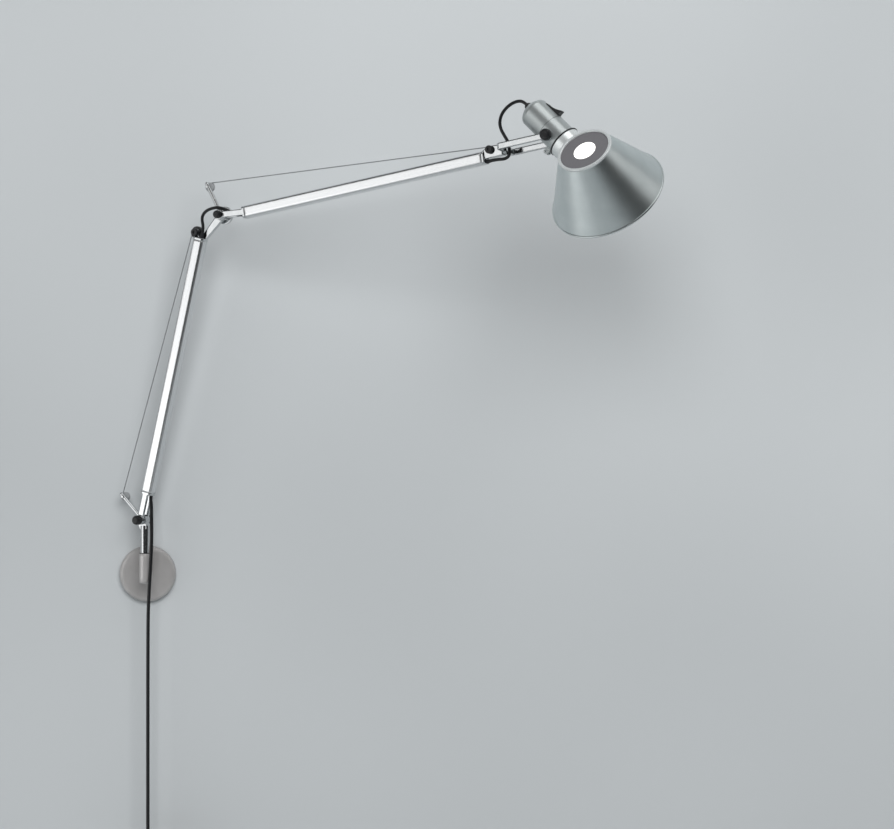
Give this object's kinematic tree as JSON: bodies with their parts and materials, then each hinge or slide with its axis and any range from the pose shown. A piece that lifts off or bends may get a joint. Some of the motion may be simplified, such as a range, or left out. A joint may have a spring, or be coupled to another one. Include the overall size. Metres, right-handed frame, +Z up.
{
  "type": "articulating wall lamp",
  "caption": "Wall lamp with a swivelling stem, two jointed square arms balanced by hidden springs and cables, and a tilting conical shade with a handle.",
  "frame": {"origin": "centre of the wall face, where the round wall plate meets the wall", "axes": "+Z up, +Y into the wall, -Y out into the room"},
  "size_m": [0.8229, 0.4321, 1.1772],
  "materials": {
    "aluminium_satin": "satin anodised extrusion",
    "paint_grey": "satin light grey paint",
    "paint_shade": "satin silver grey paint",
    "steel": "turned steel",
    "plastic_grey": "moulded light grey",
    "plastic_white": "moulded white",
    "plastic_black": "moulded black",
    "cord_black": "black flexible sheath",
    "wire_black": "black flexible sheath",
    "lens_white": "frosted cover disc",
    "glass": "frosted bulb glass",
    "brass": "plain"
  },
  "bodies": {
    "wall_bracket": {"wall_plate": "steel", "plate_cover": "paint_grey", "grub_screws": "steel", "sleeve": "paint_grey", "neck_screws": "steel", "stem_bush": "plastic_black"},
    "swivel": {"stem": "steel", "lower_post": "paint_grey", "lower_post_pin": "steel", "lower_pulley": "plastic_grey", "power_cord_top": "cord_black", "power_cord": "cord_black", "cord_coil": "cord_black", "cord_tie": "plastic_black", "plug": "plastic_black", "plug_pins": "brass"},
    "lower_arm": {"lower_tube": "aluminium_satin", "lower_fork": "paint_grey", "cord_grommet": "plastic_black", "lower_bolt": "steel", "lower_end": "paint_grey", "lower_roller_bolt": "steel", "lower_spring": "steel", "lower_cable": "steel", "lower_boot": "plastic_black", "elbow_post": "paint_grey", "elbow_post_pin": "steel", "elbow_pulley": "plastic_grey", "elbow_wire": "wire_black"},
    "lower_clamp": {"lower_knob": "plastic_black"},
    "lower_sheave": {"lower_roller": "plastic_black"},
    "upper_arm": {"upper_tube": "aluminium_satin", "upper_fork": "paint_grey", "elbow_bolt": "steel", "upper_end": "paint_grey", "upper_roller_bolt": "steel", "upper_spring": "steel", "upper_cable": "steel", "upper_boots": "plastic_black", "fork_wire": "wire_black"},
    "elbow_clamp": {"elbow_knob": "plastic_black"},
    "upper_sheave": {"upper_roller": "plastic_black"},
    "head_fork": {"yoke": "paint_grey", "head_wire": "wire_black"},
    "lamp_holder": {"rear_shell": "plastic_grey", "collar": "plastic_grey", "tilt_bolts": "steel", "holder_ring": "plastic_grey", "lamp_socket": "plastic_white", "bulb": "glass", "strain_relief": "plastic_black", "switch_base": "plastic_black"},
    "tilt_clamp": {"tilt_knob": "plastic_black"},
    "rocker": {"switch_rocker": "plastic_black"},
    "lamp_shade": {"shade": "paint_shade", "shade_neck": "plastic_grey", "cap_ring": "paint_shade", "cap_disc": "paint_shade", "cap_lens": "lens_white", "handle": "paint_shade"}
  },
  "joints": [
    {"name": "wall_swivel", "type": "hinge", "parent": "wall_bracket", "child": "swivel", "pos_m": [0, -0.043, 0], "axis": [0, 0, 1], "range_deg": [-145, 15]},
    {"name": "lower_pitch", "type": "hinge", "parent": "swivel", "child": "lower_arm", "pos_m": [-0.00308, -0.04156, 0.0867], "axis": [-0.4226, -0.9063, 0], "range_deg": [-60, 30], "deforming": ["lower_cable", "power_cord_top"]},
    {"name": "lower_clamp_turn", "type": "hinge", "parent": "lower_arm", "child": "lower_clamp", "pos_m": [-0.00308, -0.04156, 0.0867], "axis": [0.4226, 0.9063, 0], "range_deg": [-90, 90]},
    {"name": "lower_sheave_spin", "type": "hinge", "parent": "lower_arm", "child": "lower_sheave", "pos_m": [0.08694, -0.08354, 0.53131], "axis": [-0.4226, -0.9063, 0], "continuous": true},
    {"name": "elbow_pitch", "type": "hinge", "parent": "lower_arm", "child": "upper_arm", "pos_m": [0.12594, -0.10173, 0.55691], "axis": [-0.4226, -0.9063, 0], "range_deg": [-45, 70], "deforming": ["upper_cable", "elbow_wire"]},
    {"name": "elbow_clamp_turn", "type": "hinge", "parent": "upper_arm", "child": "elbow_clamp", "pos_m": [0.12594, -0.10173, 0.55691], "axis": [0.4226, 0.9063, 0], "range_deg": [-90, 90]},
    {"name": "upper_sheave_spin", "type": "hinge", "parent": "upper_arm", "child": "upper_sheave", "pos_m": [0.53658, -0.29321, 0.63353], "axis": [-0.4226, -0.9063, 0], "continuous": true},
    {"name": "fork_twist", "type": "hinge", "parent": "upper_arm", "child": "head_fork", "pos_m": [0.55362, -0.30116, 0.63307], "axis": [0.8952, -0.4174, 0.1564], "range_deg": [-60, 60], "deforming": ["fork_wire"]},
    {"name": "holder_tilt", "type": "hinge", "parent": "head_fork", "child": "lamp_holder", "pos_m": [0.62434, -0.33413, 0.64543], "axis": [-0.4321, -0.8988, 0.0741], "range_deg": [-45, 45], "deforming": ["head_wire"]},
    {"name": "tilt_clamp_turn", "type": "hinge", "parent": "lamp_holder", "child": "tilt_clamp", "pos_m": [0.62434, -0.33413, 0.64543], "axis": [0.4321, 0.8988, -0.0741], "range_deg": [-90, 90]},
    {"name": "switch_rock", "type": "hinge", "parent": "lamp_holder", "child": "rocker", "pos_m": [0.62068, -0.32932, 0.68247], "axis": [-0.4321, -0.8988, 0.0741], "range_deg": [-6, 6]},
    {"name": "shade_turn", "type": "hinge", "parent": "lamp_holder", "child": "lamp_shade", "pos_m": [0.64506, -0.34511, 0.6331], "axis": [0.6308, -0.3599, -0.6874], "continuous": true}
  ]
}
